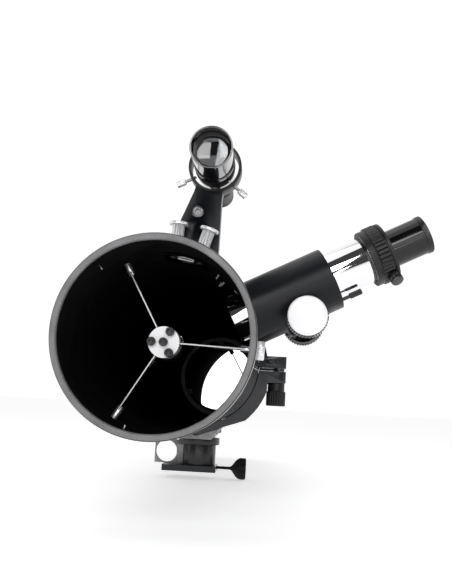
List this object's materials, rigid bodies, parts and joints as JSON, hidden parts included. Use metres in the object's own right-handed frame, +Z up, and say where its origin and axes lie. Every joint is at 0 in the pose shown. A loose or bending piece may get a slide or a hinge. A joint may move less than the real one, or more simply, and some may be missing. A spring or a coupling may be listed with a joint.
{
  "type": "newtonian reflector telescope",
  "caption": "Reflector telescope tube with spider and secondary mirror, side focuser and eyepiece, finder, two tube rings and the head of its mount.",
  "frame": {"origin": "where the upright turning axis of the mount head meets the flat underside of its base plate", "axes": "+Z up along the mount head's turning axis, +Y back along the tube's axis from the open front end to the mirror end, +X to the side that the focuser stands on"},
  "size_m": [0.3077, 0.881, 0.3251],
  "materials": {
    "gloss_black": "gloss black paint",
    "cast_grey": "grey textured paint on die casting",
    "slate_ring": "dark slate satin paint on die casting",
    "satin_black": "satin black paint on die casting",
    "chrome": "bright chrome plate",
    "satin_silver": "satin nickel",
    "black_plastic": "moulded, ribbed grips",
    "black_steel": "black oxide",
    "glass": "coated lens",
    "mirror": "aluminised glass"
  },
  "bodies": {
    "mount": {"mount_base_plate": "slate_ring", "mount_housing": "cast_grey"},
    "head_clamp": {"head_clamp_knob": "black_plastic"},
    "cradle": {"turntable_flange": "slate_ring", "saddle_block": "cast_grey", "ring_lower_front": "slate_ring", "ring_upper_front": "slate_ring", "ring_hinge_pin_front": "satin_silver", "clamp_bolt_front": "satin_silver", "ring_lower_rear": "slate_ring", "ring_upper_rear": "slate_ring", "ring_hinge_pin_rear": "satin_silver", "clamp_bolt_rear": "satin_silver"},
    "ring_clamp_front": {"clamp_knob_front": "black_plastic"},
    "ring_clamp_rear": {"clamp_knob_rear": "black_plastic"},
    "ota": {"main_tube": "gloss_black", "front_ring": "cast_grey", "rear_ring": "cast_grey", "mirror_cell": "cast_grey", "primary_mirror": "mirror", "mirror_clip_1": "satin_silver", "mirror_clip_2": "satin_silver", "mirror_clip_3": "satin_silver", "spider_hub": "satin_silver", "spider_vane_1": "black_steel", "spider_vane_2": "black_steel", "spider_vane_3": "black_steel", "secondary_holder": "black_plastic", "secondary_mirror": "mirror", "finder_backing_plate": "black_steel", "finder_bracket": "satin_black", "finder_tube": "gloss_black", "finder_objective_lens": "glass", "finder_eyepiece": "black_plastic", "focuser_housing": "satin_black"},
    "drawtube": {"drawtube": "chrome", "focus_rack": "satin_silver", "eyepiece_collar": "black_plastic"},
    "focus_knobs": {"pinion_shaft": "satin_silver", "focus_knob_front": "black_plastic", "focus_knob_rear": "black_plastic"},
    "eyepiece": {"eyepiece_body": "gloss_black", "eyepiece_lens": "glass"},
    "eyepiece_screw": {"eyepiece_thumb_screw": "chrome"},
    "focus_lock": {"focuser_lock_screw": "black_steel"},
    "secondary_pull": {"secondary_centre_screw": "black_steel"},
    "finder_nut_1": {"finder_thumb_nut_1": "chrome"},
    "finder_nut_2": {"finder_thumb_nut_2": "chrome"},
    "finder_screw_1": {"finder_adjust_screw_1": "satin_silver"},
    "finder_screw_2": {"finder_adjust_screw_2": "satin_silver"},
    "finder_screw_3": {"finder_adjust_screw_3": "satin_silver"},
    "primary_screw_1": {"primary_collimation_screw_1": "black_plastic"},
    "primary_screw_2": {"primary_collimation_screw_2": "black_plastic"},
    "primary_screw_3": {"primary_collimation_screw_3": "black_plastic"},
    "secondary_screw_1": {"secondary_collimation_screw_1": "black_steel"},
    "secondary_screw_2": {"secondary_collimation_screw_2": "black_steel"},
    "secondary_screw_3": {"secondary_collimation_screw_3": "black_steel"},
    "spider_nut_1": {"vane_nut_1": "chrome"},
    "spider_nut_2": {"vane_nut_2": "chrome"},
    "spider_nut_3": {"vane_nut_3": "chrome"}
  },
  "joints": [
    {"name": "head_turn", "type": "hinge", "parent": "mount", "child": "cradle", "pos_m": [0, 0, 0.035], "axis": [0, 0, 1], "continuous": true},
    {"name": "head_clamp_turn", "type": "hinge", "parent": "mount", "child": "head_clamp", "pos_m": [0.0412, 0, 0.005], "axis": [1, 0, 0], "range_deg": [0, 360]},
    {"name": "tube_roll", "type": "hinge", "parent": "cradle", "child": "ota", "pos_m": [0, 0, 0.13], "axis": [0, 1, 0], "continuous": true},
    {"name": "ring_clamp_front_turn", "type": "hinge", "parent": "cradle", "child": "ring_clamp_front", "pos_m": [0.0932, -0.042, 0.112], "axis": [0, 0, 1], "range_deg": [0, 360]},
    {"name": "ring_clamp_rear_turn", "type": "hinge", "parent": "cradle", "child": "ring_clamp_rear", "pos_m": [0.0932, 0.042, 0.112], "axis": [0, 0, 1], "range_deg": [0, 360]},
    {"name": "focus_travel", "type": "slide", "parent": "ota", "child": "drawtube", "axis": [0.8934, 0, 0.4493], "range_m": [-0.015, 0.045]},
    {"name": "focus_knob_turn", "type": "hinge", "parent": "ota", "child": "focus_knobs", "pos_m": [0.11013, -0.3525, 0.15651], "axis": [0, 1, 0], "range_deg": [-205.5, 614.5]},
    {"name": "eyepiece_pull", "type": "slide", "parent": "drawtube", "child": "eyepiece", "axis": [0.8934, 0, 0.4493], "range_m": [0, 0.025]},
    {"name": "eyepiece_screw_turn", "type": "hinge", "parent": "drawtube", "child": "eyepiece_screw", "pos_m": [0.17019, -0.3525, 0.2156], "axis": [0.3739, -0.5547, -0.7433], "range_deg": [0, 360]},
    {"name": "focus_lock_turn", "type": "hinge", "parent": "ota", "child": "focus_lock", "pos_m": [0.13925, -0.36, 0.17474], "axis": [0.8934, 0, 0.4493], "range_deg": [0, 360]},
    {"name": "finder_nut_1_turn", "type": "hinge", "parent": "ota", "child": "finder_nut_1", "pos_m": [0.02268, -0.38, 0.20463], "axis": [0.2907, 0, 0.9568], "range_deg": [0, 360]},
    {"name": "finder_nut_2_turn", "type": "hinge", "parent": "ota", "child": "finder_nut_2", "pos_m": [0.00272, -0.38, 0.20795], "axis": [0.0349, 0, 0.9994], "range_deg": [0, 360]},
    {"name": "finder_screw_1_turn", "type": "hinge", "parent": "ota", "child": "finder_screw_1", "pos_m": [0.00961, -0.361, 0.27161], "axis": [-0.9003, 0, -0.4352], "range_deg": [-180, 180]},
    {"name": "finder_screw_2_turn", "type": "hinge", "parent": "ota", "child": "finder_screw_2", "pos_m": [0.04652, -0.361, 0.26669], "axis": [0.7547, 0, -0.6561], "range_deg": [-180, 180]},
    {"name": "finder_screw_3_turn", "type": "hinge", "parent": "ota", "child": "finder_screw_3", "pos_m": [0.03124, -0.361, 0.30356], "axis": [0.0698, 0, 0.9976], "range_deg": [-180, 180]},
    {"name": "primary_screw_1_turn", "type": "hinge", "parent": "ota", "child": "primary_screw_1", "pos_m": [0.04157, 0.404, 0.154], "axis": [0, 1, 0], "range_deg": [-180, 180]},
    {"name": "primary_screw_2_turn", "type": "hinge", "parent": "ota", "child": "primary_screw_2", "pos_m": [-0.04157, 0.404, 0.154], "axis": [0, 1, 0], "range_deg": [-180, 180]},
    {"name": "primary_screw_3_turn", "type": "hinge", "parent": "ota", "child": "primary_screw_3", "pos_m": [0, 0.404, 0.082], "axis": [0, 1, 0], "range_deg": [-180, 180]},
    {"name": "secondary_screw_1_turn", "type": "hinge", "parent": "ota", "child": "secondary_screw_1", "pos_m": [0.0047, -0.402, 0.13814], "axis": [0, 1, 0], "range_deg": [-180, 180]},
    {"name": "secondary_screw_2_turn", "type": "hinge", "parent": "ota", "child": "secondary_screw_2", "pos_m": [-0.0094, -0.402, 0.13], "axis": [0, 1, 0], "range_deg": [-180, 180]},
    {"name": "secondary_screw_3_turn", "type": "hinge", "parent": "ota", "child": "secondary_screw_3", "pos_m": [0.0047, -0.402, 0.12186], "axis": [0, 1, 0], "range_deg": [-180, 180]},
    {"name": "secondary_pull_turn", "type": "hinge", "parent": "ota", "child": "secondary_pull", "pos_m": [0, -0.402, 0.13], "axis": [0, 1, 0], "range_deg": [-180, 180]},
    {"name": "spider_nut_1_turn", "type": "hinge", "parent": "ota", "child": "spider_nut_1", "pos_m": [-0.03482, -0.394, 0.19256], "axis": [-0.4863, 0, 0.8738], "range_deg": [0, 360]},
    {"name": "spider_nut_2_turn", "type": "hinge", "parent": "ota", "child": "spider_nut_2", "pos_m": [0.07156, -0.394, 0.1275], "axis": [0.9994, 0, -0.0349], "range_deg": [0, 360]},
    {"name": "spider_nut_3_turn", "type": "hinge", "parent": "ota", "child": "spider_nut_3", "pos_m": [-0.03698, -0.394, 0.06869], "axis": [-0.5165, 0, -0.8563], "range_deg": [0, 360]}
  ],
  "couplings": [
    {"joint": "focus_knob_turn", "follows": "focus_travel", "rad_per_m": 238.1}
  ]
}
